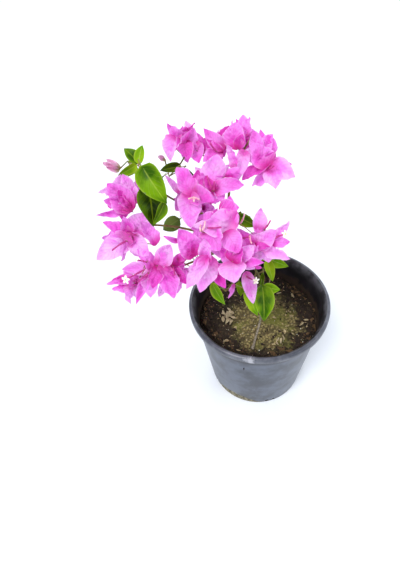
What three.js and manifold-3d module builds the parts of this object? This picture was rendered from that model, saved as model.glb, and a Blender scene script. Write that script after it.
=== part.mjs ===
// A young bougainvillea in a round black nursery pot.
// Millimetres, +Z up. The origin is the centre of the pot's flat underside. +X is to the right and +Y away
// from a viewer who stands on the side where the stem leaves the soil.
import * as THREE from "three";
import { mergeVertices } from "three/addons/utils/BufferGeometryUtils.js";
import Module from "manifold-3d";

const wasm = await Module();
wasm.setup();

// ---- driving dimensions ----
const POT = {
  height: 187,
  rimRadius: 100, // widest part of the rolled lip
  wallTopRadius: 93, // outside of the wall, just under the lip
  baseRadius: 78,
  wall: 1.8,
  lipHeight: 9,
  segments: 40,
};
const DRAIN = { pairs: 5, firstAngle: 276, spread: 4, width: 5, height: 8, reach: 7 };
const SOIL = { level: 146, bump: 2.4, rings: 6, segments: 40, flatRadius: 7 };
const GAP = 0.35; // between touching pieces
const STEM_FOOT = [-19, -56]; // where the stem leaves the soil

// ---- colours, roughness and metalness ----
const material = (color, roughness, metalness = 0) =>
  new THREE.MeshStandardMaterial({ color, roughness, metalness });
const MATERIALS = {
  pot: material(0x2e3036, 0.55),
  soil: material(0x5a4c30, 0.95),
  bark: material(0x7b715f, 0.85),
  shoot: material(0x6f6a2e, 0.7),
  leaf: material(0x55950f, 0.45),
  bract: material(0xe25fd6, 0.7),
};

const vector = (p) => new THREE.Vector3(...p);

// ---- solids and cuts ----
function toSolid(geometry) {
  const bare = geometry.clone();
  bare.deleteAttribute("normal");
  bare.deleteAttribute("uv");
  const merged = mergeVertices(bare, 1e-3);
  return new wasm.Manifold(
    new wasm.Mesh({
      numProp: 3,
      vertProperties: merged.attributes.position.array,
      triVerts: new Uint32Array(merged.index.array),
    }),
  );
}

function toGeometry(solid) {
  const mesh = solid.getMesh();
  const geometry = new THREE.BufferGeometry();
  geometry.setAttribute("position", new THREE.BufferAttribute(mesh.vertProperties, 3));
  geometry.setIndex(new THREE.BufferAttribute(mesh.triVerts, 1));
  geometry.computeVertexNormals();
  return geometry;
}

// The largest body that is left of a solid once the others are cut away.
function cutBack(solid, others) {
  const left = others.reduce((rest, other) => rest.subtract(other), solid);
  return left.decompose().sort((a, b) => b.volume() - a.volume())[0];
}

// ---- pot ----
function quarterArc(centre, radius, from, to, steps = 3) {
  const points = [];
  for (let i = 0; i <= steps; i++) {
    const a = THREE.MathUtils.degToRad(from + ((to - from) * i) / steps);
    points.push(
      new THREE.Vector2(centre[0] + radius * Math.cos(a), centre[1] + radius * Math.sin(a)),
    );
  }
  return points;
}

function wallRadius(z) {
  const under = POT.height - POT.lipHeight;
  return POT.baseRadius + ((POT.wallTopRadius - POT.baseRadius) * z) / under;
}

function potSolid() {
  const { height, rimRadius, baseRadius, wall, lipHeight } = POT;
  const at = (r, z) => new THREE.Vector2(r, z);
  const bead = lipHeight * 0.45;
  const profile = [
    at(0, 0),
    ...quarterArc([baseRadius - 2, 2], 2, -90, 0, 2),
    at(wallRadius(height - lipHeight), height - lipHeight),
    at(rimRadius - 1.2, height - lipHeight),
    ...quarterArc([rimRadius - bead, height - bead], bead, 0, 90),
    ...quarterArc([rimRadius - 2 * bead + 2, height - 2], 2, 90, 180, 2),
    at(wallRadius(height - lipHeight) - wall, height - lipHeight),
    at(baseRadius - wall, wall),
    at(0, wall),
  ];
  const shell = new THREE.LatheGeometry(profile, POT.segments).rotateX(Math.PI / 2);
  let solid = toSolid(shell);
  for (let pair = 0; pair < DRAIN.pairs; pair++) {
    for (const side of [-1, 1]) {
      const angle = DRAIN.firstAngle + (360 / DRAIN.pairs) * pair + side * DRAIN.spread;
      const notch = new THREE.BoxGeometry(DRAIN.reach * 2, DRAIN.width, DRAIN.height * 2)
        .translate(baseRadius, 0, 0)
        .rotateZ(THREE.MathUtils.degToRad(angle));
      solid = solid.subtract(toSolid(notch));
    }
  }
  return solid;
}

// ---- soil ----
function soilHeight(x, y) {
  const wave =
    Math.sin(x / 9 + 1.3) * Math.cos(y / 11) + 0.6 * Math.sin(x / 5 - y / 7) + 0.4 * Math.cos(y / 4);
  const foot = Math.hypot(x - STEM_FOOT[0], y - STEM_FOOT[1]);
  const calm = THREE.MathUtils.smoothstep(foot, SOIL.flatRadius, SOIL.flatRadius * 3);
  return SOIL.level + SOIL.bump * 0.5 * wave * calm;
}

function soilSolid() {
  const floor = POT.wall + GAP;
  const inside = (z) => wallRadius(z) - POT.wall - GAP - 0.6;
  const edgeHeight = SOIL.level - SOIL.bump * 2;
  const profile = [
    new THREE.Vector2(0, floor),
    new THREE.Vector2(inside(floor), floor),
    new THREE.Vector2(inside(edgeHeight), edgeHeight),
  ];
  for (let ring = SOIL.rings; ring > 0; ring--)
    profile.push(new THREE.Vector2((inside(SOIL.level) * 0.97 * ring) / SOIL.rings, SOIL.level));
  profile.push(new THREE.Vector2(0, SOIL.level));
  const geometry = new THREE.LatheGeometry(profile, SOIL.segments).rotateX(Math.PI / 2);
  const place = geometry.attributes.position;
  for (let i = 0; i < place.count; i++)
    if (place.getZ(i) > SOIL.level - 0.01)
      place.setZ(i, soilHeight(place.getX(i), place.getY(i)));
  return toSolid(geometry);
}

// ---- limbs: a closed cylinder bent along a curve, tapering from its foot to its tip ----
function limbSolid({ path, foot, tip, flare = 0, steps = 8, sides = 6 }, grow = 0) {
  const curve = new THREE.CatmullRomCurve3(path.map(vector), false, "centripetal");
  const geometry = new THREE.CylinderGeometry(1, 1, 1, sides, steps);
  const place = geometry.attributes.position;
  const frames = curve.computeFrenetFrames(steps, false);
  for (let i = 0; i < place.count; i++) {
    const step = Math.round((place.getY(i) + 0.5) * steps);
    const t = step / steps;
    const radius = foot + (tip - foot) * t + flare * Math.exp(-t * 14) + grow;
    const centre = curve.getPointAt(t);
    const across = frames.normals[step].clone().multiplyScalar(place.getX(i) * radius);
    const along = frames.binormals[step].clone().multiplyScalar(-place.getZ(i) * radius);
    const point = centre.add(across).add(along);
    // The trunk's foot is one flat cut on the soil.
    place.setXYZ(i, point.x, point.y, flare && step === 0 ? path[0][2] : point.z);
  }
  const solid = toSolid(geometry);
  return solid.volume() > 0 ? solid : toSolid(turnedInsideOut(geometry));
}

function turnedInsideOut(geometry) {
  const flipped = geometry.clone();
  const index = flipped.index;
  for (let i = 0; i < index.count; i += 3) {
    const second = index.getX(i + 1);
    index.setX(i + 1, index.getX(i + 2));
    index.setX(i + 2, second);
  }
  return flipped;
}

// ---- masses: an ellipsoid with lobes that stand out where sprays reach further ----
const GOLDEN_ANGLE = Math.PI * (3 - Math.sqrt(5));
const COARSE_UNDER = 27; // a mass whose longest radius is no more than this gets fewer faces

function lobeDirections(count, turn) {
  return Array.from({ length: count }, (_, i) => {
    const z = 1 - (2 * i + 1) / count;
    const r = Math.sqrt(1 - z * z);
    const a = turn + GOLDEN_ANGLE * i;
    return new THREE.Vector3(r * Math.cos(a), r * Math.sin(a), z);
  });
}

function massSolid({ centre, size, lobes = 7, turn = 0, depth = 0.3 }, grow = 0) {
  const geometry = new THREE.IcosahedronGeometry(1, Math.max(...size) > COARSE_UNDER ? 3 : 2);
  const directions = lobeDirections(lobes, turn);
  const place = geometry.attributes.position;
  const point = new THREE.Vector3();
  for (let i = 0; i < place.count; i++) {
    point.fromBufferAttribute(place, i).normalize();
    const nearest = Math.max(...directions.map((d) => d.dot(point)));
    const reach = 1 - depth + depth * THREE.MathUtils.smoothstep(nearest, 0.45, 0.98);
    place.setXYZ(
      i,
      centre[0] + point.x * (reach * size[0] + grow),
      centre[1] + point.y * (reach * size[1] + grow),
      centre[2] + point.z * (reach * size[2] + grow),
    );
  }
  return toSolid(geometry);
}

// ---- the plant ----
const FORK = [-36, -10, 302];
const UPPER_FORK = [-30, 30, 355];

const STEM = {
  name: "stem",
  material: "bark",
  path: [
    [...STEM_FOOT, SOIL.level + GAP],
    [-11, -44, 163],
    [-3, -31, 182],
    [2, -16, 225],
    [-12, -10, 270],
    FORK,
  ],
  foot: 2.0,
  tip: 1.5,
  flare: 1.8,
  steps: 20,
  sides: 8,
};

// Each bough leaves the fork it names and ends inside the mass that it carries.
const BOUGHS = [
  { name: "bough_upper", path: [FORK, [-36, 10, 330], UPPER_FORK], foot: 1.7, tip: 1.4 },
  { name: "bough_top_left", path: [UPPER_FORK, [-44, 56, 374], [-66, 78, 386]], foot: 1.2, tip: 0.9 },
  { name: "bough_top_right", path: [UPPER_FORK, [-14, 52, 376], [0, 62, 392]], foot: 1.2, tip: 0.9 },
  { name: "bough_left", path: [FORK, [-62, -4, 322], [-98, 2, 336], [-136, 0, 348]], foot: 1.6, tip: 1.0 },
  {
    name: "bough_far_left",
    path: [FORK, [-58, 10, 334], [-98, 24, 360], [-128, 44, 378]],
    foot: 1.5,
    tip: 0.9,
  },
  {
    name: "bough_lower_left",
    path: [FORK, [-62, -26, 312], [-92, -38, 314], [-124, -48, 316]],
    foot: 1.4,
    tip: 0.9,
  },
  { name: "bough_front", path: [FORK, [-44, -30, 306], [-50, -52, 316]], foot: 1.4, tip: 1.0 },
  { name: "bough_right", path: [FORK, [-22, -18, 312], [0, -30, 326]], foot: 1.3, tip: 0.9 },
];

const MASSES = [
  { name: "bracts_top_left", centre: [-70, 79, 391], size: [27, 24, 26], turn: 0.4 },
  { name: "bracts_top_middle", centre: [-38, 70, 393], size: [19, 20, 25], turn: 1.9 },
  { name: "bracts_crest", centre: [-7, 65, 393], size: [18, 20, 27], turn: 0.9 },
  { name: "bracts_top_right", centre: [15, 41, 374], size: [29, 25, 27], turn: 2.6, lobes: 8 },
  { name: "bracts_inner_left", centre: [-73, 0, 374], size: [27, 24, 30], turn: 1.2, lobes: 8 },
  { name: "bracts_inner_right", centre: [-38, 16, 376], size: [28, 21, 24], turn: 2.2 },
  { name: "bracts_centre", centre: [-54, -38, 356], size: [30, 23, 27], turn: 0.2 },
  { name: "bracts_front_left", centre: [-69, -60, 320], size: [23, 19, 25], turn: 1.0 },
  { name: "bracts_front_right", centre: [-35, -56, 326], size: [25, 20, 25], turn: 2.9 },
  { name: "bracts_hanging", centre: [-18, -48, 268], size: [15, 14, 24], turn: 0.6, lobes: 5 },
  { name: "bracts_right", centre: [-4, -31, 330], size: [30, 23, 28], turn: 1.5, lobes: 9 },
  { name: "bracts_far_left", centre: [-148, 28, 366], size: [31, 22, 24], turn: 2.0 },
  { name: "bracts_left", centre: [-142, -17, 344], size: [36, 21, 24], turn: 0.7, lobes: 8 },
  { name: "bracts_lower_left", centre: [-148, -51, 314], size: [29, 20, 25], turn: 2.4 },
  { name: "bracts_lower_middle", centre: [-102, -47, 314], size: [22, 19, 25], turn: 1.6 },
  { name: "bracts_back", centre: [-64, 44, 326], size: [33, 24, 25], turn: 1.1, lobes: 9 },
  { name: "leaves_heart", centre: [-114, 6, 381], size: [19, 14, 31], turn: 0.3, lobes: 5, leafy: true },
  { name: "leaves_tip", centre: [-139, 66, 392], size: [25, 18, 20], turn: 1.4, lobes: 6, leafy: true },
  { name: "leaves_upper", centre: [-95, 66, 364], size: [22, 15, 13], turn: 2.1, lobes: 5, leafy: true },
  { name: "leaves_under", centre: [-100, 24, 325], size: [14, 12, 15], turn: 0.8, lobes: 5, leafy: true },
  { name: "leaves_behind", centre: [-8, 22, 322], size: [20, 19, 17], turn: 2.8, lobes: 6, leafy: true },
  { name: "leaves_over_rim", centre: [17, -10, 268], size: [25, 17, 17], turn: 0.5, lobes: 6, leafy: true },
  { name: "leaves_low", centre: [-4, -48, 233], size: [25, 14, 23], turn: 1.7, lobes: 6, leafy: true },
  { name: "leaves_low_left", centre: [-48, -24, 247], size: [27, 15, 15], turn: 2.5, lobes: 6, leafy: true },
];

// ---- assembly ----
const bougainvillea = new THREE.Group();

function addNode(name, solid, materialName) {
  const mesh = new THREE.Mesh(toGeometry(solid), MATERIALS[materialName]);
  mesh.name = name;
  bougainvillea.add(mesh);
}

addNode("pot", potSolid(), "pot");
addNode("soil", soilSolid(), "soil");
addNode(STEM.name, limbSolid(STEM), STEM.material);

// The stem stays whole: each mass is cut round it and round the masses before it.
const grownStem = limbSolid(STEM, GAP);
const grownMasses = [];
for (const mass of MASSES) {
  addNode(
    mass.name,
    cutBack(massSolid(mass), [grownStem, ...grownMasses]),
    mass.leafy ? "leaf" : "bract",
  );
  grownMasses.push(massSolid(mass, GAP));
}

// Each bough is cut back where it meets the stem or an earlier bough, and ends where it enters a mass.
const grownLimbs = [grownStem];
for (const bough of BOUGHS) {
  addNode(bough.name, cutBack(limbSolid(bough), [...grownLimbs, ...grownMasses]), "shoot");
  grownLimbs.push(limbSolid(bough, GAP));
}

export default bougainvillea;
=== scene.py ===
"""The looks of a young bougainvillea in a nursery pot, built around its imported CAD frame.

Shapes are worked out in millimetres and become metres when a mesh is made. Each mass of the frame is
replaced by twigs that grow on from the nearest limb, and by the bracts, flowers and leaves they carry.
"""

import math

import bpy
import numpy as np
from mathutils import Matrix, Vector, noise


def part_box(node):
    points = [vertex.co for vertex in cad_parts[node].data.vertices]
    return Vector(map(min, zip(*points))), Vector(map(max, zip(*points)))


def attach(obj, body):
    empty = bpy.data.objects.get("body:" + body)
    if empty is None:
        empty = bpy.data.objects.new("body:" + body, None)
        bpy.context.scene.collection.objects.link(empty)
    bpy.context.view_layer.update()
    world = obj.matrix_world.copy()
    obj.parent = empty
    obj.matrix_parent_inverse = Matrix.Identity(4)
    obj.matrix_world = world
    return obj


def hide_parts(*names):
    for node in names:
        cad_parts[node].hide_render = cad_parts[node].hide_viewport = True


MM = 0.001
TURN = 2 * math.pi
GOLDEN_ANGLE = math.pi * (3 - math.sqrt(5))

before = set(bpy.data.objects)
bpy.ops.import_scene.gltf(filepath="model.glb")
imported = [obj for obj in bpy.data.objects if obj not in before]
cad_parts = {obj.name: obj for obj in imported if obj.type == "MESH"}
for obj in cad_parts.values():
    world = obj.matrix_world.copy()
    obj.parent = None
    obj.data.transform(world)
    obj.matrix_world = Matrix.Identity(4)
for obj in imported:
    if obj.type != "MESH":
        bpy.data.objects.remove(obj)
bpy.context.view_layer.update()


# ---- small helpers
def unit(v):
    v = np.asarray(v, float)
    return v / np.linalg.norm(v)


def across(v, axis):
    """v without its share along the unit vector axis, at length 1."""
    return unit(v - np.dot(v, axis) * axis)


def smoothstep(x, low, high):
    t = np.clip((x - low) / (high - low), 0, 1)
    return t * t * (3 - 2 * t)


def srgb(red, green, blue):
    """A linear colour from the 0 to 255 values of a screen colour."""
    channels = []
    for value in (red, green, blue):
        c = value / 255
        channels.append(c / 12.92 if c <= 0.04045 else ((c + 0.055) / 1.055) ** 2.4)
    return (*channels, 1.0)


def mass_place(name):
    """Centre and half-sizes of a CAD node's box, in millimetres."""
    low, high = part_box(name)
    low, high = np.array(low) / MM, np.array(high) / MM
    return (low + high) / 2, (high - low) / 2


# ---- camera, floor and light
CAMERA_PLACE = np.array([-79.0, -295.0, 570.2])
CAMERA_DIP = math.radians(48.68)  # below the horizon
CAMERA_ROLL = math.radians(-8.76)
CAMERA_LENS = 21.2
CAMERA_SENSOR = 36.0


def camera_axes():
    """The camera's right, up and backward directions."""
    level = np.array([1.0, 0, 0])
    rise = np.array([0, math.sin(CAMERA_DIP), math.cos(CAMERA_DIP)])
    back = np.array([0, -math.cos(CAMERA_DIP), math.sin(CAMERA_DIP)])
    right = math.cos(CAMERA_ROLL) * level + math.sin(CAMERA_ROLL) * rise
    up = -math.sin(CAMERA_ROLL) * level + math.cos(CAMERA_ROLL) * rise
    return right, up, back


def make_camera():
    data = bpy.data.cameras.new("camera")
    data.sensor_width = CAMERA_SENSOR
    data.lens = CAMERA_LENS
    data.clip_start = 0.01
    camera = bpy.data.objects.new("camera", data)
    right, up, back = camera_axes()
    turn = Matrix((right, up, back)).transposed().to_4x4()
    camera.matrix_world = Matrix.Translation(Vector(CAMERA_PLACE * MM)) @ turn
    bpy.context.scene.collection.objects.link(camera)
    bpy.context.scene.camera = camera


FLOOR_RADIUS = 9.0
FLOOR_SIDES = 96
FLOOR_DROP = 0.0004  # keeps the floor clear of the pot's underside


def make_floor():
    shape = {"vertices": FLOOR_SIDES, "radius": FLOOR_RADIUS, "fill_type": "NGON"}
    bpy.ops.mesh.primitive_circle_add(location=(0, 0, -FLOOR_DROP), **shape)
    floor = bpy.context.object
    floor.name = "floor"
    g = Graph("floor_paper")
    g.colour = srgb(240, 244, 251)
    floor.data.materials.append(g.finish(g.principled(0.9)))


def add_light(name, kind, place, aim, energy, **settings):
    """A light that shines from place towards aim, both in metres."""
    data = bpy.data.lights.new(name, kind)
    data.energy = energy
    for key, value in settings.items():
        setattr(data, key, value)
    light = bpy.data.objects.new(name, data)
    light.location = place
    light.rotation_euler = (Vector(aim) - Vector(place)).to_track_quat("-Z", "Y").to_euler()
    bpy.context.scene.collection.objects.link(light)


WORLD_COLOUR = (0.92, 0.96, 1.0, 1)
WORLD_STRENGTH = 0.72
SUN_SPREAD = math.radians(24)  # the sun's angle across, which softens its shadows


def make_studio():
    world = bpy.data.worlds.new("studio")
    world.use_nodes = True
    background = world.node_tree.nodes["Background"]
    background.inputs["Color"].default_value = WORLD_COLOUR
    background.inputs["Strength"].default_value = WORLD_STRENGTH
    bpy.context.scene.world = world
    bpy.context.scene.view_settings.view_transform = "Standard"
    add_light("key", "SUN", (-0.5, -0.45, 1.0), (0, 0, 0), 2.0, angle=SUN_SPREAD)
    add_light("fill", "AREA", (1.5, -0.7, 1.1), (0, 0, 0.2), 10, shape="DISK", size=1.4)
    add_light("back", "AREA", (0.3, 1.6, 1.5), (0, 0, 0.3), 7, shape="DISK", size=1.2)


# ---- materials
class Graph:
    """A material and its nodes, built from short calls."""

    def __init__(self, name):
        self.colour = None  # what has been painted so far
        self.material = bpy.data.materials.new(name)
        self.material.use_nodes = True
        self.tree = self.material.node_tree
        self.tree.nodes.clear()

    def add(self, kind, inputs=None, **settings):
        node = self.tree.nodes.new(kind)
        for key, value in settings.items():
            setattr(node, key, value)
        for key, value in (inputs or {}).items():
            self.put(node.inputs[key], value)
        return node

    def put(self, socket, value):
        if isinstance(value, bpy.types.NodeSocket):
            self.tree.links.new(value, socket)
        else:
            socket.default_value = value

    def math(self, operation, a, b=0.0):
        return self.add("ShaderNodeMath", {0: a, 1: b}, operation=operation).outputs[0]

    def times(self, a, b):
        return self.math("MULTIPLY", a, b)

    def plus(self, a, b):
        return self.math("ADD", a, b)

    def minus(self, a, b):
        return self.math("SUBTRACT", a, b)

    def ragged(self, value, noise, width):
        """The value moved by a noise, up to half the width either way."""
        return self.plus(value, self.times(self.minus(noise, 0.5), width))

    def ramp(self, value, low, high, to_low=0.0, to_high=1.0):
        """Smoothly from to_low at low to to_high at high."""
        inputs = {"Value": value, "From Min": low, "From Max": high, "To Min": to_low, "To Max": to_high}
        return self.add("ShaderNodeMapRange", inputs, interpolation_type="SMOOTHSTEP").outputs["Result"]

    def mix(self, share, first, second):
        inputs = {0: share, 6: first, 7: second}
        return self.add("ShaderNodeMix", inputs, data_type="RGBA").outputs[2]

    def paint(self, colour, share):
        """Covers the colour so far with a share of another."""
        self.colour = self.mix(share, self.colour, colour)

    def place(self):
        return self.add("ShaderNodeTexCoord").outputs["Object"]

    def noise(self, scale, detail=3.0, rough=0.5, vector=None):
        inputs = {"Vector": vector or self.place(), "Scale": scale, "Detail": detail, "Roughness": rough}
        return self.add("ShaderNodeTexNoise", inputs).outputs["Fac"]

    def streaks(self, scale, rough, squash):
        """Noise drawn out along Z."""
        inputs = {"Vector": self.place(), "Scale": (1, 1, squash)}
        return self.noise(scale, 4, rough, self.add("ShaderNodeMapping", inputs).outputs[0])

    def cells(self, scale):
        node = self.add("ShaderNodeTexVoronoi", {"Vector": self.place(), "Scale": scale})
        return node.outputs["Distance"]

    def distance(self, place, vector=None):
        """How far a point of the surface lies from a place given in metres."""
        inputs = {0: vector or self.place(), 1: place}
        return self.add("ShaderNodeVectorMath", inputs, operation="DISTANCE").outputs["Value"]

    def split(self, vector):
        return self.add("ShaderNodeSeparateXYZ", {0: vector}).outputs

    def bump(self, height, strength, distance):
        inputs = {"Height": height, "Strength": strength, "Distance": distance}
        return self.add("ShaderNodeBump", inputs).outputs["Normal"]

    def principled(self, roughness, normal=None, specular=0.4):
        """A shader with the colour painted so far."""
        inputs = {"Base Color": self.colour, "Roughness": roughness}
        shader = self.add("ShaderNodeBsdfPrincipled", inputs)
        shader.inputs["Specular IOR Level"].default_value = specular
        if normal is not None:
            self.put(shader.inputs["Normal"], normal)
        return shader.outputs[0]

    def see_through(self, shader, colour, share, normal):
        """The shader with a share of light let through, as in a thin leaf."""
        glow = self.add("ShaderNodeBsdfTranslucent", {"Color": colour, "Normal": normal})
        return self.add("ShaderNodeMixShader", {0: share, 1: shader, 2: glow.outputs[0]}).outputs[0]

    def finish(self, shader):
        self.tree.links.new(shader, self.add("ShaderNodeOutputMaterial").inputs["Surface"])
        return self.material

    def blade(self, slant, pairs):
        """Where a point lies on its blade: off the midrib and along from the foot, and its veins."""
        spot = self.split(self.add("ShaderNodeUVMap", uv_map="blade").outputs[0])
        off = self.math("ABSOLUTE", self.minus(self.times(spot[0], 2.0), 1.0))
        along = spot[1]
        phase = self.plus(self.minus(along, self.times(off, slant)), self.times(self.noise(160, 1), 0.10))
        gap = self.math("PINGPONG", self.times(phase, pairs), 0.5)
        side_veins = self.ramp(gap, 0.02, 0.16, 1.0, 0.0)
        midrib = self.ramp(off, 0.01, 0.09, 1.0, 0.0)
        return off, along, side_veins, midrib


RIM_BAND = (0.86, 0.98)  # from the midrib to the edge: where the lighter band along a blade's rim sets in and is full


def bract_material(name, blade, edge, vein, throat):
    """Papery bract: redder towards its foot, with a net of fine veins and a painted highlight along its rim,
    as if lit through the thin edge.
    """
    g = Graph(name)
    off, along, side_veins, midrib = g.blade(0.34, 8.0)
    g.colour = g.mix(g.ramp(g.noise(55, 3), 0.35, 0.65), blade, edge)
    g.paint(edge, g.ramp(off, 0.35, 1.0, 0.0, 0.6))
    # Painted highlight: the rim is lightened as if light came through its thin edge.
    g.paint(srgb(255, 216, 255), g.ramp(off, *RIM_BAND, 0.0, 0.5))
    net = g.ramp(g.cells(420), 0.0, 0.5, 0.35, 0.0)
    lines = g.math("MAXIMUM", g.times(side_veins, 0.7), midrib)
    lines = g.math("MAXIMUM", lines, net)
    g.paint(vein, g.times(lines, 0.24))
    g.paint(throat, g.ramp(along, 0.0, 0.38, 0.85, 0.0))
    normal = g.bump(g.plus(g.times(side_veins, 0.2), g.noise(240, 2)), 1.0, 0.0012)
    return g.finish(g.see_through(g.principled(0.55, normal, 0.3), g.colour, 0.36, normal))


def leaf_material(name, blade, light, rib, roughness, through):
    """Leaf: lighter towards its edge, with a clear midrib, faint side veins and a pale rim."""
    g = Graph(name)
    off, _, side_veins, midrib = g.blade(0.45, 6.0)
    g.colour = g.mix(g.ramp(g.noise(45, 3), 0.38, 0.68), blade, light)
    g.paint(light, g.ramp(off, 0.5, 1.0, 0.0, 0.75))
    g.paint(rib, g.times(side_veins, 0.1))
    g.paint(rib, g.times(midrib, 0.55))
    g.paint(rib, g.ramp(off, *RIM_BAND, 0.0, 0.55))
    normal = g.bump(g.minus(g.times(g.noise(300, 2), 0.4), side_veins), 0.5, 0.0005)
    return g.finish(g.see_through(g.principled(roughness, normal, 0.12), light, through, normal))


def plain_material(name, first, second, scale, roughness, relief=0.3):
    """Two colours in soft patches, with relief at the same scale."""
    g = Graph(name)
    patches = g.noise(scale, 4, 0.6)
    g.colour = g.mix(g.ramp(patches, 0.35, 0.65), first, second)
    return g.finish(g.principled(roughness, g.bump(patches, relief, 0.0004)))


def bark_material():
    """Grey at the foot of the stem, green and brown higher up."""
    g = Graph("bark")
    streaks = g.streaks(900, 0.65, 0.22)
    g.colour = g.mix(g.ramp(streaks, 0.35, 0.65), srgb(92, 80, 64), srgb(168, 158, 142))
    young = g.mix(g.noise(200), srgb(104, 112, 52), srgb(120, 92, 60))
    g.paint(young, g.ramp(g.split(g.place())[2], 0.18, 0.26, 0.0, 0.85))
    return g.finish(g.principled(0.8, g.bump(streaks, 0.7, 0.0006)))


SANDY_MIDDLE = (6.0, -12.0)  # of the soil's light patch


def soil_material():
    """Sandy and mossy in the middle, darker and lumpy towards the wall, where the darkening is partly darker
    soil and partly painted shade from the pot's rim.
    """
    g = Graph("soil")
    spot = g.split(g.place())
    flat = g.add("ShaderNodeCombineXYZ", {0: spot[0], 1: spot[1]}).outputs[0]
    coarse = g.noise(28, 5, 0.65)
    reach = g.distance((SANDY_MIDDLE[0] * MM, SANDY_MIDDLE[1] * MM, 0.0), flat)
    inner = g.ramp(g.ragged(reach, coarse, 0.09), 0.036, 0.060, 1.0, 0.0)
    fine = g.noise(340, 5, 0.7)
    crumbs = g.cells(240)
    # Towards the wall the soil is darker: partly darker soil, partly painted shade from the pot's rim.
    dark = g.mix(g.ramp(coarse, 0.4, 0.62), srgb(28, 22, 17), srgb(66, 54, 38))
    sandy = g.mix(g.ramp(fine, 0.4, 0.62), srgb(124, 112, 66), srgb(166, 150, 100))
    g.colour = g.mix(inner, dark, sandy)
    g.paint(srgb(38, 28, 18), g.ramp(crumbs, 0.25, 0.6, 0.0, 0.7))
    moss = g.times(g.ramp(g.noise(20, 3), 0.46, 0.6, 0.0, 0.7), inner)
    g.paint(srgb(114, 118, 44), moss)
    relief = g.bump(g.minus(fine, g.times(crumbs, 0.8)), 0.9, 0.0016)
    return g.finish(g.principled(0.95, relief))


# The pot's sizes and marks, which its material and its mesh share.
WALL = 1.8
LIP_HEIGHT = 9.0
LIP_REACH = 7.0  # of the lip past the top of the wall
TAPER = 15.0  # how much wider the wall is under the lip than at its foot
STAIN_ANGLE = math.radians(233)  # the mud left round the pot's foot stands highest here
STAIN_REACH = 46.0  # of a place's height and its distance from there, added together
STAIN_EDGE = 4.0  # how far inside that the mud is full
SCUFF_ANGLE = math.radians(251)  # of the rubbed mark on the lip
SCUFF_REACH = 8.0
SCUFF_DROP = 2.0  # of the mark's middle below the top of the lip
LIP_SHADOW_SPAN = (-24.0, -16.0, 1.0, 3.5)  # painted shadow under the lip's overhang, from the lip's underside: dark sets in, is full, ends, is gone


def pot_sizes():
    """The CAD pot's radius at the lip, radius at the foot and height."""
    half = mass_place("pot")[1]
    return half[0], half[0] - LIP_REACH - TAPER, 2 * half[2]


def pot_spot(radius, angle, height):
    """A place on the pot, in metres."""
    return (radius * math.cos(angle) * MM, radius * math.sin(angle) * MM, height * MM)


def pot_outside_material(name, low, high, roughness):
    """Black plastic that dust has turned grey, with rubbed marks, dried mud at the foot and a painted shadow
    under the lip.
    """
    g = Graph(name)
    rim, foot, top = pot_sizes()
    height = g.split(g.place())[2]
    dust = g.noise(26, 6, 0.65)
    g.colour = g.mix(g.ramp(dust, 0.36, 0.66), low, high)
    g.paint(high, g.ramp(g.streaks(120, 0.6, 0.15), 0.5, 0.75, 0.0, 0.35))
    specks = g.times(g.ramp(g.cells(120), 0.03, 0.09, 0.7, 0.0), g.ramp(g.noise(30, 2), 0.52, 0.62))
    g.paint(srgb(32, 34, 44), specks)
    # Painted shadow: the wall is darkened just under the lip's overhang and on the lip's underside.
    dark_from, dark_full, dark_end, gone = [(top - LIP_HEIGHT + offset) * MM for offset in LIP_SHADOW_SPAN]
    painted_lip_shadow = g.ramp(height, dark_from, dark_full, 0.0, 0.75)
    painted_lip_shadow = g.times(painted_lip_shadow, g.ramp(height, dark_end, gone, 1.0, 0.0))
    g.paint(srgb(18, 20, 28), painted_lip_shadow)

    away = g.distance(pot_spot(foot, STAIN_ANGLE, 0))
    level = g.plus(g.ragged(height, g.noise(90, 4), 0.02), away)
    mud = g.ramp(level, (STAIN_REACH - STAIN_EDGE) * MM, STAIN_REACH * MM, 0.95, 0.0)
    mud_colour = g.mix(g.ramp(g.noise(240, 4), 0.42, 0.62), srgb(84, 76, 54), srgb(152, 144, 120))
    g.paint(mud_colour, mud)

    reach = g.ragged(g.distance(pot_spot(rim, SCUFF_ANGLE, top - SCUFF_DROP)), g.noise(180, 4), 0.02)
    scuff = g.ramp(reach, 0.2 * SCUFF_REACH * MM, SCUFF_REACH * MM, 0.7, 0.0)
    g.paint(srgb(190, 190, 198), scuff)
    relief = g.bump(g.plus(dust, g.noise(500, 3)), 0.12, 0.0005)
    return g.finish(g.principled(g.ramp(mud, 0.0, 0.9, roughness, 0.85), relief, 0.5))


def pot_inside_material():
    """Bare black plastic, dusty towards the rim and dirty just over the soil."""
    g = Graph("pot_inside")
    height = g.split(g.place())[2]
    g.colour = g.mix(g.ramp(g.noise(40, 4), 0.35, 0.65), srgb(16, 15, 20), srgb(36, 34, 39))
    dusty = g.times(g.ramp(height, 0.168, 0.184, 0.0, 0.6), g.ramp(g.noise(60, 4), 0.4, 0.6))
    g.paint(srgb(92, 92, 98), dusty)
    dirt = g.ramp(g.ragged(height, g.noise(110, 4), 0.03), 0.149, 0.158, 0.85, 0.0)
    g.paint(srgb(62, 50, 40), dirt)
    return g.finish(g.principled(0.5, g.bump(g.noise(300, 3), 0.2, 0.0005)))


# Colours of the blade, its edge, its veins and its throat.
# The light and deep looks are lit and shaded copies of one pink: painted light and painted shade, with the
# mid look between.
BRACT_LOOKS = {
    "bract_painted_lit": ((255, 146, 248), (255, 200, 255), (228, 88, 208), (236, 70, 192)),
    "bract_mid": ((250, 104, 228), (255, 160, 250), (212, 56, 186), (224, 38, 162)),
    "bract_painted_shaded": ((228, 60, 190), (244, 104, 220), (182, 32, 150), (204, 22, 132)),
    "bract_bud": ((238, 168, 208), (250, 204, 230), (206, 84, 150), (176, 180, 90)),
}
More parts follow.
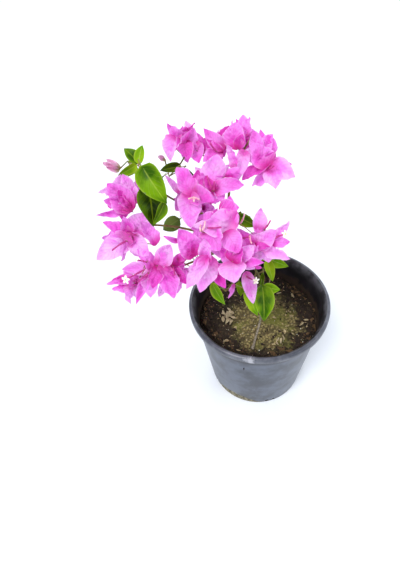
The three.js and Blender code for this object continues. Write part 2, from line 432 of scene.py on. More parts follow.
# Colours of the blade, its light patches and its rib, then roughness and the share of light let through.
LEAF_LOOKS = {
    # The bright and dark looks are lit and shaded copies of one green: painted light and painted shade.
    "leaf_painted_lit": ((104, 166, 0), (178, 218, 30), (214, 230, 110), 0.36, 0.34),
    "leaf_mid": ((54, 98, 0), (128, 174, 4), (182, 206, 70), 0.36, 0.28),
    "leaf_painted_shaded": ((26, 46, 0), (76, 108, 0), (136, 156, 22), 0.34, 0.2),
    "leaf_under": ((84, 112, 46), (110, 140, 60), (146, 168, 90), 0.6, 0.25),
    "leaf_dry": ((166, 146, 112), (216, 202, 168), (128, 104, 74), 0.8, 0.15),
}
# Two colours, the scale of their patches and roughness; a fifth value is the strength of the relief.
PLAIN_LOOKS = {
    "tube": ((168, 28, 118), (206, 70, 150), 300, 0.6),
    "tube_pale": ((236, 150, 178), (246, 206, 206), 260, 0.6),
    "star": ((252, 250, 238), (246, 240, 214), 200, 0.6, 0.1),
    "star_eye": ((240, 232, 160), (222, 212, 120), 300, 0.7),
    "shoot": ((112, 92, 52), (132, 128, 62), 220, 0.7),
    "stalk": ((124, 152, 52), (164, 120, 84), 160, 0.6),
    "chip_pale": ((196, 178, 136), (150, 128, 92), 400, 0.9),
    "chip_brown": ((104, 80, 50), (66, 48, 32), 400, 0.9),
    "chip_dark": ((50, 36, 26), (28, 20, 16), 400, 0.95),
    "chip_white": ((232, 228, 214), (202, 196, 178), 300, 0.85),
    # The notch faces are painted near black, darker than the pot's own black plastic: painted shade in the
    # notches.
    "notch": ((7, 7, 9), (14, 13, 14), 100, 0.9),
}
# Two colours and roughness.
POT_LOOKS = {
    "pot_wall": ((34, 40, 53), (78, 86, 102), 0.36),
    "pot_lip": ((62, 65, 76), (106, 109, 119), 0.34),
}


def make_materials():
    made = {"bark": bark_material(), "soil": soil_material(), "pot_inside": pot_inside_material()}
    for make, looks in (
        (bract_material, BRACT_LOOKS),
        (leaf_material, LEAF_LOOKS),
        (plain_material, PLAIN_LOOKS),
        (pot_outside_material, POT_LOOKS),
    ):
        for name, values in looks.items():
            made[name] = make(name, *[srgb(*v) if isinstance(v, tuple) else v for v in values])
    return made


# ---- meshes
CELL_MARGIN = 0.04  # round each blade in the bake map, of its cell


class Joined:
    """Many grids and loose shapes joined into one mesh, in millimetres."""

    def __init__(self, materials):
        self.materials = materials
        self.points = []
        self.faces = []
        self.slots = []
        self.spots = []
        self.owners = []
        self.total = 0
        self.blades = 0

    def add(self, points, faces, material, spots=None):
        points = np.asarray(points, float).reshape(-1, 3)
        self.points.append(points)
        self.spots.append(np.zeros((len(points), 2)) if spots is None else spots.reshape(-1, 2))
        self.owners.append(np.full(len(points), self.blades))
        self.faces.extend(tuple(int(i) + self.total for i in face) for face in faces)
        self.slots.extend([self.materials.index(material)] * len(faces))
        self.total += len(points)
        self.blades += 1

    def add_grid(self, grid, material, closed=False, flip=False):
        """A sheet of quads; a closed one joins its last column to its first."""
        rows, columns = grid.shape[:2]
        number = np.arange(rows * columns).reshape(rows, columns)
        if closed:
            number = np.concatenate([number, number[:, :1]], axis=1)
        corners = [number[:-1, :-1], number[:-1, 1:], number[1:, 1:], number[1:, :-1]]
        if flip:
            corners.reverse()
        faces = np.stack([c.ravel() for c in corners], axis=1)
        side, along = np.meshgrid(np.linspace(0, 1, columns), np.linspace(0, 1, rows))
        self.add(grid, faces, material, np.stack([side, along], axis=2))

    def build(self, name, cells=False, smooth=True):
        mesh = bpy.data.meshes.new(name)
        points = np.concatenate(self.points)
        mesh.from_pydata((points * MM).tolist(), [], self.faces)
        mesh.polygons.foreach_set("material_index", self.slots)
        mesh.polygons.foreach_set("use_smooth", [smooth] * len(self.faces))
        for key in self.materials:
            mesh.materials.append(MATERIALS[key])
        if cells:
            self.add_uv(mesh)
        mesh.update()
        piece = bpy.data.objects.new(name, mesh)
        bpy.context.scene.collection.objects.link(piece)
        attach(piece, "root")
        return piece

    def add_uv(self, mesh):
        """Each blade gets its own cell of the bake map, and a second map says where on it a point lies."""
        spots = np.concatenate(self.spots)
        owners = np.concatenate(self.owners)
        side = math.ceil(math.sqrt(self.blades))
        corner = np.stack([owners % side, owners // side], axis=1)
        cell = (corner + CELL_MARGIN + (1 - 2 * CELL_MARGIN) * spots) / side
        vertex = np.empty(len(mesh.loops), int)
        mesh.loops.foreach_get("vertex_index", vertex)
        for layer, values in (("OFBake", cell), ("blade", spots)):
            mesh.uv_layers.new(name=layer).data.foreach_set("uv", values[vertex].ravel())


START_SIDE = np.array([0.31, 0.87, 0.38])  # any direction that no path here starts in


def bent_frames(points):
    """Two cross directions along a path, turned no more than the path turns."""
    tangents = np.gradient(points, axis=0)
    tangents /= np.linalg.norm(tangents, axis=1)[:, None]
    first = across(START_SIDE, tangents[0])
    normals = []
    for tangent in tangents:
        first = across(first, tangent)
        normals.append(first)
    normals = np.array(normals)
    return normals, np.cross(tangents, normals)


def bark_relief(grid, depth):
    """Ridges and small knots in the skin of a limb."""
    out = np.zeros(grid.shape[:2])
    for spot in np.ndindex(out.shape):
        x, y, z = grid[spot]
        ridge = noise.noise(Vector((x * 0.9, y * 0.9, z * 0.18)))
        knot = noise.noise(Vector((x * 0.25, y * 0.25, z * 0.35)) + Vector((7, 3, 1)))
        out[spot] = depth * (0.7 * ridge + max(0, knot - 0.15) * 1.6)
    return out


def tube_grid(points, radii, sides, bark=0.0):
    """A closed skin round a path, drawn to a point at both ends. bark is how deep its relief goes."""
    points, radii = np.asarray(points, float), np.asarray(radii, float)
    normals, binormals = bent_frames(points)
    turn = (np.arange(sides) * TURN / sides)[None, :, None]
    ring = normals[:, None] * np.cos(turn) + binormals[:, None] * np.sin(turn)
    grid = points[:, None] + ring * radii[:, None, None]
    if bark:
        grid = grid + ring * bark_relief(grid, bark)[..., None]
    ends = [np.repeat(points[i][None, None], sides, axis=1) for i in (0, -1)]
    return np.concatenate([ends[0], grid, ends[1]])


def curve(path, count):
    """count points along a Catmull-Rom curve through the path."""
    path = np.asarray(path, float)
    padded = np.concatenate([[2 * path[0] - path[1]], path, [2 * path[-1] - path[-2]]])
    spans = len(path) - 1
    out = []
    for s in np.linspace(0, spans, count):
        i = min(int(s), spans - 1)
        t = s - i
        a, b, c, d = padded[i : i + 4]
        point = 2 * b + (c - a) * t
        point = point + (2 * a - 5 * b + 4 * c - d) * t**2
        point = point + (3 * b - a - 3 * c + d) * t**3
        out.append(0.5 * point)
    return np.array(out)


# ---- bracts, flowers and leaves
BRACT_ROWS = 22
BRACT_COLUMNS = 15
BRACT_WIDTH = 0.74  # of its length, where no width is given
FOLD_WAVES = (17.0, 10.5, 7.0)  # from crest to crest, in millimetres
FOLD_DEPTH = 0.1  # of the wave's length
LEAF_ROWS = 13
LEAF_COLUMNS = 9
LEAF_THICKNESS = 0.35


def ovate(v, foot, tip):
    """Half-width along a blade, 1 at its widest: a higher foot or tip power makes that end slimmer."""
    widest = foot / (foot + tip)
    return (v**foot * (1 - v) ** tip) / (widest**foot * (1 - widest) ** tip)


def blade_plan(rows, columns, along, face):
    """Shares along (v) and across (u) a blade, and its own face and side directions."""
    v = np.linspace(0, 1, rows)[:, None]
    u = np.linspace(-1, 1, columns)[None, :]
    face = across(face, along)
    return v, u, face, np.cross(along, face)


def crumple(sideways, along, rng):
    """The soft folds of papery tissue: crossing waves, every second one creased."""
    height = 0
    for number, wave in enumerate(FOLD_WAVES):
        heading = rng.uniform(0, math.pi)
        phase = (sideways * math.cos(heading) + along * math.sin(heading)) / wave + rng.uniform(0, 1)
        swell = np.sin(TURN * phase + 0.8 * np.sin(along / wave * 2 + heading))
        height = height + FOLD_DEPTH * wave * (1.4 * np.abs(swell) if number % 2 else swell)
    return height


def bract_sheet(foot, tip, face, width, rng):
    """One papery bract. face is the side that its inner surface looks to."""
    length = np.linalg.norm(tip - foot)
    along = (tip - foot) / length
    v, u, face, side = blade_plan(BRACT_ROWS, BRACT_COLUMNS, along, face)
    half = 0.5 * width * ovate(v, rng.uniform(0.45, 0.6), rng.uniform(0.72, 1.05))
    belly = rng.uniform(-0.03, 0.13) * length * np.sin(math.pi * v)
    sweep = rng.uniform(-0.06, 0.06) * length * np.sin(math.pi * v)
    cups = rng.uniform(-0.2, 0.7, 2)
    cup = np.where(u < 0, cups[0], cups[1])
    fold = rng.uniform(0.0, 0.4)
    side_phase = np.where(u < 0, rng.uniform(0, 1), rng.uniform(0, 1))
    depth = rng.uniform(0.03, 0.09) * length
    ripple = depth * u**2 * np.sin(TURN * (v * rng.uniform(0.9, 2.0) + side_phase))
    folds = crumple(half * u, length * v, rng)
    calm = np.minimum(1, 4 * v) * np.minimum(1, 5 * (1 - v))
    lift = half * (cup * u**2 + fold * np.abs(u)) + (ripple + folds) * calm - belly
    rib = foot + length * v[..., None] * along + sweep[..., None] * side
    heart = (-0.06 * length * u**2 * (1 - v) ** 3)[..., None] * along
    return rib + (half * u)[..., None] * side + lift[..., None] * face + heart


STAR_CORNERS = 40
# Each ring of the limb: its share of the radius, and how far it stands forward.
STAR_RINGS = ((0.02, 0.0), (0.12, 0.1), (0.18, 0.6), (0.55, 0.9), (0.85, 0.7), (1.0, 0.2))


def add_star(flowers, place, axis, radius, rng):
    """The small white limb at the end of an open flower: five notched lobes round a yellow eye."""
    side = across(np.array([0.2, 0.5, 0.84]), axis)
    other = np.cross(axis, side)
    turn = np.linspace(0, TURN, STAR_CORNERS, endpoint=False) + rng.uniform(0, TURN)
    lobes = 0.42 + 0.58 * np.abs(np.cos(2.5 * turn)) ** 1.1
    ring = np.cos(turn)[:, None] * side + np.sin(turn)[:, None] * other
    rings = []
    for share, rise in STAR_RINGS:
        reach = radius * share * (lobes if share > 0.2 else 1.0)
        wave = rise + 0.3 * share * np.sin(5 * turn)[:, None]
        rings.append(place + ring * np.reshape(reach, (-1, 1)) + axis * wave)
    flowers.add_grid(np.array(rings[:3]), "star_eye", closed=True)
    flowers.add_grid(np.array(rings[2:]), "star", closed=True)


TUBE_SIDES = 8
TUBE_RADII = np.array([0.65, 0.95, 1.1, 1.05, 0.85, 0.75, 0.8, 0.95, 0.75])


def add_flower(flowers, foot, end, bulge, star_radius, tint, rng):
    """A slim flower tube, with its white limb where it has opened."""
    path = curve([foot, (foot + end) / 2 + bulge, end], len(TUBE_RADII))
    flowers.add_grid(tube_grid(path, TUBE_RADII, TUBE_SIDES), tint, closed=True, flip=True)
    if star_radius:
        add_star(flowers, end, unit(end - foot), star_radius, rng)


def add_triad(sheets, flowers, foot, axis, out, length, opening, tints, stars, rng):
    """Three bracts round three slim flower tubes."""
    other = np.cross(axis, out)
    for number in range(3):
        angle = number * TURN / 3 + rng.uniform(-0.3, 0.3)
        leaning = unit(math.cos(angle) * out + math.sin(angle) * other)
        size = length * rng.uniform(0.92, 1.05)
        tilt = math.radians(opening * rng.uniform(0.75, 1.25))
        start = foot + 1.2 * leaning
        tip = start + size * (math.cos(tilt) * axis + math.sin(tilt) * leaning)
        width = size * BRACT_WIDTH * rng.uniform(0.88, 1.12)
        sheets.add_grid(bract_sheet(start, tip, axis, width, rng), tints[number])
        lean = math.radians(rng.uniform(6, 24)) * min(1, opening / 40)
        end = foot + length * rng.uniform(0.36, 0.5) * unit(math.cos(lean) * axis + math.sin(lean) * leaning)
        star_radius = rng.uniform(4.0, 4.6) if number < stars else 0
        add_flower(flowers, foot + 0.6 * leaning, end, 0.6 * leaning, star_radius, "tube", rng)


def add_leaf(leaves, foot, along, face, length, width, tint, rng, fold=0.35, droop=30):
    """A leaf of two skins that meet at its rim. face is the side that the upper one looks to."""
    v, u, face, side = blade_plan(LEAF_ROWS, LEAF_COLUMNS, along, face)
    bend = math.radians(droop) * (v - 0.25)
    step = length / (LEAF_ROWS - 1)
    forward = np.cumsum(np.cos(bend), axis=0) * step
    drop = np.cumsum(np.sin(bend), axis=0) * step
    half = 0.5 * width * ovate(v, 0.5, 0.95)
    phase = rng.uniform(0, 1)
    ripple = 0.02 * length * u**2 * np.sin(TURN * (v * 1.6 + phase + 0.25 * np.sign(u)))
    lift = half * fold * np.abs(u) ** 1.3 + ripple
    rib = foot + forward[..., None] * along - drop[..., None] * face
    heart = (-0.08 * length * np.abs(u) ** 2 * (1 - v) ** 4)[..., None] * along
    upper = rib + heart + (half * u)[..., None] * side + lift[..., None] * face
    thickness = LEAF_THICKNESS * (1 - np.abs(u) ** 4) * np.minimum(1, 8 * v * (1 - v) + 0.05)
    leaves.add_grid(upper, tint, flip=True)
    leaves.add_grid(upper - thickness[..., None] * face, "leaf_under")


# ---- limbs, as the CAD source places them
FORK = (-36, -10, 302)
UPPER_FORK = (-30, 30, 355)
STEM_FOOT = (-19, -56, 146)
# Each limb: its path, and its radius at the foot and at the tip.
LIMBS = {
    "stem": ([STEM_FOOT, (-11, -44, 163), (-3, -31, 182), (2, -16, 225), (-12, -10, 270), FORK], 1.6, 1.3),
    "bough_upper": ([FORK, (-36, 10, 330), UPPER_FORK], 1.7, 1.4),
    "bough_top_left": ([UPPER_FORK, (-44, 56, 374), (-66, 78, 386)], 1.2, 0.9),
    "bough_top_right": ([UPPER_FORK, (-14, 52, 376), (0, 62, 392)], 1.2, 0.9),
    "bough_left": ([FORK, (-62, -4, 322), (-98, 2, 336), (-136, 0, 348)], 1.6, 1.0),
    "bough_far_left": ([FORK, (-58, 10, 334), (-98, 24, 360), (-128, 44, 378)], 1.5, 0.9),
    "bough_lower_left": ([FORK, (-62, -26, 312), (-92, -38, 314), (-124, -48, 316)], 1.4, 0.9),
    "bough_front": ([FORK, (-44, -30, 306), (-50, -52, 316)], 1.4, 1.0),
    "bough_right": ([FORK, (-22, -18, 312), (0, -30, 326)], 1.3, 0.9),
}
FLARE = 1.1  # what the stem gains in radius at the soil
STEM_RINGS = 110
BOUGH_RINGS = 44
LIMB_SIDES = 14
LIMB_SAMPLES = 40  # places on a limb where a twig may start
RELIEF = 0.16  # of the bark, by the radius at the foot of the limb


def make_limbs():
    wood = Joined(["bark", "shoot"])
    for name, (path, foot, tip) in LIMBS.items():
        rings = STEM_RINGS if name == "stem" else BOUGH_RINGS
        points = curve(path, rings)
        share = np.linspace(0, 1, rings)
        radii = foot + (tip - foot) * share
        if name == "stem":
            radii = radii + FLARE * np.exp(-share * 26)
        grid = tube_grid(points, radii, LIMB_SIDES, RELIEF * foot)
        wood.add_grid(grid, "bark" if name == "stem" else "shoot", closed=True, flip=True)
    piece = wood.build("woody_limbs")
    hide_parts(*LIMBS)


def limb_points():
    return np.concatenate([curve(path, LIMB_SAMPLES) for path, _, _ in LIMBS.values()])


# ---- sprays
# What the viewer sees is placed piece by piece, mass by mass. Places are millimetres right of the fork and
# up from it in the plane that faces the camera there. depth says how much nearer the viewer a piece lies
# than the middle of its mass.
# Bract tints: a lit copy, a middle one and a shaded copy of one pink, painted light and painted shade.
LIT_BRACT, MID, SHADED_BRACT, BUD = "bract_painted_lit", "bract_mid", "bract_painted_shaded", "bract_bud"
# Each row: foot right, foot up, tip right, tip up, width, depth, tint.
SHOWN_BRACTS = {
    "bracts_top_left": [
        (-56, 116, -75, 145, 13, 2, MID), (-64, 128, -71, 100, 23, 6, LIT_BRACT),
        (-57, 112, -43, 139, 23, 4, MID), (-58, 117, -57, 142, 14, -6, MID),
        (-54, 124, -51, 101, 20, 6, SHADED_BRACT), (-43, 122, -38, 98, 17, 2, MID),
        (-37, 111, -26, 129, 15, -2, SHADED_BRACT),
    ],
    "bracts_top_middle": [
        (-10, 115, -33, 139, 17, 4, MID), (-8, 116, 1, 149, 11, 2, MID), (-13, 108, -31, 127, 17, 0, SHADED_BRACT),
        (-14, 116, -34, 100, 20, 0, MID),
    ],
    "bracts_crest": [
        (15, 127, 13, 155, 17, -4, LIT_BRACT), (5, 115, 4, 146, 25, 2, MID), (6, 116, 13, 132, 14, 6, SHADED_BRACT),
        (4, 94, -6, 120, 16, 8, LIT_BRACT), (15, 112, 8, 79, 16, 8, LIT_BRACT),
    ],
    "bracts_top_right": [
        (34, 104, 25, 136, 17, 0, MID), (35, 105, 33, 138, 14, -6, MID), (36, 108, 48, 132, 20, 0, LIT_BRACT),
        (42, 94, 22, 122, 25, 3, MID), (45, 96, 70, 97, 17, 2, MID), (43, 94, 74, 82, 27, 8, LIT_BRACT),
        (44, 91, 51, 68, 22, 5, LIT_BRACT), (41, 86, 23, 71, 13, -5, LIT_BRACT), (41, 96, 12, 78, 18, 2, SHADED_BRACT),
    ],
    "bracts_inner_right": [
        (-22, 67, -43, 94, 25, 2, LIT_BRACT), (-23, 69, -17, 109, 31, 4, LIT_BRACT), (-22, 66, 15, 73, 21, 2, MID),
        (-21, 67, -31, 84, 12, 8, SHADED_BRACT), (-16, 65, -11, 52, 12, 0, MID),
    ],
    "bracts_inner_left": [
        (-46, 61, -64, 94, 24, 2, MID), (-62, 64, -78, 85, 8, -4, LIT_BRACT), (-49, 64, -48, 23, 26, 6, LIT_BRACT),
        (-45, 58, -20, 55, 25, 2, MID), (-45, 60, -39, 91, 17, -2, SHADED_BRACT),
    ],
    "bracts_centre": [
        (6, 36, -46, 25, 27, 6, LIT_BRACT), (-14, 44, 9, 47, 24, 0, MID), (-8, 22, -2, 61, 24, -3, MID),
        (-26, 24, -13, -3, 30, 0, MID), (-7, 18, 8, -6, 25, 1, MID),
    ],
    "bracts_front_left": [
        (-24, -11, -37, -52, 30, 6, LIT_BRACT), (-31, -11, -53, -48, 18, 9, LIT_BRACT),
        (-28, -15, -32, 11, 17, 8, LIT_BRACT), (-43, -8, -62, 22, 28, 2, MID), (-42, -5, -43, 21, 18, 1, MID),
        (-62, 8, -80, 14, 7, 0, MID), (-62, -14, -46, -6, 9, -4, SHADED_BRACT), (-16, -28, -7, -47, 15, -6, SHADED_BRACT),
    ],
    "bracts_front_right": [
        (3, -16, 3, -41, 32, 8, LIT_BRACT), (8, -19, 38, -17, 14, 4, MID), (4, -13, 26, 3, 20, 6, LIT_BRACT),
        (3, -14, -14, 0, 20, 4, MID), (1, -16, 12, 2, 24, 9, SHADED_BRACT), (-2, -4, -26, -1, 17, 2, LIT_BRACT),
    ],
    "bracts_hanging": [(17, -29, 25, -65, 16, 4, LIT_BRACT), (3, -42, -4, -59, 6, 0, MID)],
    "bracts_lower_middle": [
        (-82, -17, -71, 4, 22, 2, LIT_BRACT), (-81, -20, -67, -59, 22, 6, MID),
        (-74, -21, -51, -43, 14, 2, SHADED_BRACT), (-67, -21, -50, -4, 14, 0, SHADED_BRACT),
        (-76, -37, -85, -57, 11, -6, LIT_BRACT), (-61, -29, -54, -19, 9, 0, MID),
    ],
    "bracts_lower_left": [
        (-91, -23, -128, -25, 19, 2, LIT_BRACT), (-101, -34, -146, -42, 12, -4, MID),
        (-94, -31, -111, -66, 13, 2, MID), (-91, -29, -94, -58, 20, 0, LIT_BRACT),
        (-88, -22, -92, -47, 15, 8, SHADED_BRACT), (-88, -23, -110, -1, 20, 2, MID),
        (-87, -22, -77, -4, 16, 2, MID),
    ],
    "bracts_left": [
        (-119, 13, -157, -14, 27, 4, LIT_BRACT), (-110, 15, -101, 42, 28, 0, LIT_BRACT),
        (-89, 4, -106, 31, 20, 8, MID), (-119, 18, -150, 30, 18, -2, MID),
        (-129, 18, -151, 11, 11, -6, LIT_BRACT), (-117, 11, -96, -9, 22, 4, LIT_BRACT),
        (-120, 16, -126, 37, 16, 2, MID),
    ],
    "bracts_far_left": [
        (-116, 45, -145, 75, 30, 2, MID), (-115, 45, -132, 67, 18, 5, SHADED_BRACT),
        (-114, 51, -127, 86, 18, -2, LIT_BRACT), (-112, 53, -109, 82, 18, -6, MID),
        (-125, 44, -158, 38, 10, 0, MID), (-117, 45, -149, 55, 20, 0, MID),
    ],
    "bracts_right": [
        (30, 22, 34, 47, 18, -2, LIT_BRACT), (25, 3, 52, 21, 23, 4, LIT_BRACT), (50, 11, 67, 32, 13, 0, LIT_BRACT),
        (47, 4, 68, 7, 13, 0, MID), (36, 2, 68, -13, 13, 4, LIT_BRACT), (26, 2, 6, 23, 18, 2, MID),
        (23, 6, 28, -19, 17, 4, LIT_BRACT), (26, 1, 45, 1, 12, 6, SHADED_BRACT),
    ],
    "leaves_tip": [
        (-130, 92, -150, 99, 11, 4, BUD), (-130, 92, -146, 103, 8, 2, BUD), (-131, 90, -146, 94, 7, 3, BUD),
    ],
    "leaves_upper": [(-78, 102, -86, 107, 6, 2, BUD), (-77, 101, -86, 106, 5, 3, BUD)],
}

# Each row: foot right, foot up, end right, end up, depth, tint, radius of the open flower or 0.
RED, PALE = "tube", "tube_pale"
SHOWN_FLOWERS = {
    "bracts_inner_left": [
        (-45, 58, -50, 57, 12, PALE, 0), (-45, 58, -44, 54, 13, PALE, 0), (-45, 59, -38, 56, 12, PALE, 0),
    ],
    "bracts_inner_right": [(-22, 67, -29, 84, 13, RED, 0), (-21, 66, -20, 77, 12, RED, 0)],
    "bracts_centre": [
        (-28, 23, -12, 24, 12, RED, 0), (-34, 20, -31, 31, 12, PALE, 0), (-36, 19, -36, 28, 10, PALE, 0),
    ],
    "bracts_left": [(-123, 8, -139, -3, 14, RED, 0), (-111, 15, -122, 18, 12, RED, 0)],
    "bracts_far_left": [(-115, 42, -127, 44, 10, RED, 0)],
    "bracts_lower_left": [
        (-101, -25, -123, -37, 14, RED, 4.9), (-97, -30, -109, -40, 14, RED, 0),
        (-99, -17, -111, -14, 12, RED, 2.6),
    ],
    "bracts_lower_middle": [(-68, -22, -66, -32, 8, RED, 0)],
    "bracts_hanging": [(17, -33, 28, -38, 12, RED, 4.6)],
    "bracts_right": [
        (38, 22, 45, 32, 2, RED, 0), (50, 11, 62, 16, 10, RED, 4.6), (10, 11, 20, 13, 14, RED, 0),
        (10, 28, 15, 40, 6, PALE, 0), (21, 14, 23, 5, 14, PALE, 0),
    ],
    "bracts_top_right": [(43, 92, 49, 95, 12, RED, 0)],
    "bracts_top_middle": [(-18, 112, -25, 122, 8, RED, 0)],
}

# Each row: foot right, foot up, tip right, tip up, width, depth, how far the leaf's face turns, tint.
# Leaf tints: a lit copy, a middle one and a shaded copy of one green, painted light and painted shade.
LIT_LEAF, GREEN, SHADED_LEAF = "leaf_painted_lit", "leaf_mid", "leaf_painted_shaded"
SHOWN_LEAVES = {
    "leaves_heart": [
        (-105, 96, -79, 55, 30, 15, 15, GREEN), (-97, 71, -90, 29, 34, 7, -15, SHADED_LEAF),
        (-78, 54, -88, 29, 14, 10, -30, GREEN),
    ],
    "leaves_tip": [
        (-107, 97, -124, 116, 16, 0, 20, GREEN), (-108, 97, -105, 119, 13, 2, -25, LIT_LEAF),
        (-110, 97, -130, 84, 11, 4, -20, LIT_LEAF), (-110, 95, -120, 84, 8, 0, 10, LIT_LEAF),
    ],
    "leaves_upper": [(-58, 94, -82, 91, 12, 2, 20, SHADED_LEAF), (-58, 92, -41, 79, 9, 16, 20, SHADED_LEAF)],
    "leaves_under": [(-60, 34, -79, 21, 18, 2, 180, GREEN)],
    "leaves_behind": [(6, 38, 27, 25, 15, 2, 15, GREEN), (8, 32, 10, 42, 9, 0, -20, GREEN)],
    "leaves_over_rim": [
        (40, -8, 25, -17, 10, 8, 20, LIT_LEAF), (38, -10, 64, -22, 14, 6, 15, LIT_LEAF),
        (40, -14, 48, -37, 12, 6, -20, LIT_LEAF),
    ],
    "leaves_low": [
        (35, -42, 39, -83, 24, 4, -20, GREEN), (36, -45, 55, -49, 13, 2, 15, LIT_LEAF),
        (18, -47, 28, -78, 14, -2, 25, LIT_LEAF), (36, -29, 34, -46, 5, 2, 0, GREEN),
    ],
    "leaves_low_left": [(-23, -40, -10, -65, 13, 4, 25, LIT_LEAF), (8, -39, 11, -55, 10, 2, -20, GREEN)],
}

FILLING_SIZE = 0.68  # of a triad behind the shown bracts, by the mass's smallest half-size
FILLING_OPENING = 48  # in degrees
HIDDEN_TRIADS = 3  # on each mass of bracts, on the side away from the viewer
HIDDEN_STARS = 0.15  # the share of those with an open flower
ALL_ROUND_TRIADS = {"bracts_back": 7}
LONGEST_BRACT = 25.0  # on a hidden side
HIDDEN_LEAVES = 2
LONGEST_LEAF = 26.0  # on a hidden side
LEAF_SHAPE = 0.62  # width by length, there
BARE_BACKS = ("bracts_hanging", "leaves_tip", "leaves_behind")  # too thin to hide anything behind them
SPIRAL = 13  # directions
FIRST_SEED = 1000  # of the masses, which count on from it
TWIG_POINTS = 10
TWIG_SIDES = 6
SHORTEST_TWIG = 2.0
SHORTEST_STALK = 1.5
STALK_LEAD = 5.0  # how far a stalk runs in line with what it carries
ROLL_LIMIT = 28  # of a shown bract, in degrees either way


def spiral_directions(seed):
    """Directions spread evenly over a ball, in an order that jumps about."""
    order = [(i * 5 + seed) % SPIRAL for i in range(SPIRAL)]
    out = []
    for i in order:
        z = 1 - (2 * i + 1) / SPIRAL
        r = math.sqrt(1 - z * z)
        a = seed * 1.7 + GOLDEN_ANGLE * i
        out.append(np.array([r * math.cos(a), r * math.sin(a), z]))
    return out


def depth_of(place):
    """How far a place lies in front of the camera, along the line it looks down."""
    return np.dot(CAMERA_PLACE - place, camera_axes()[2])


FORK_DEPTH = depth_of(np.array(FORK))


def seen_place(right, up, depth):
    """The place at this depth that the viewer sees right of the fork and up from it, in the fork's plane."""
    level, rise, _ = camera_axes()
    on_plane = np.array(FORK) + right * level + up * rise
    return CAMERA_PLACE + (on_plane - CAMERA_PLACE) * depth / FORK_DEPTH


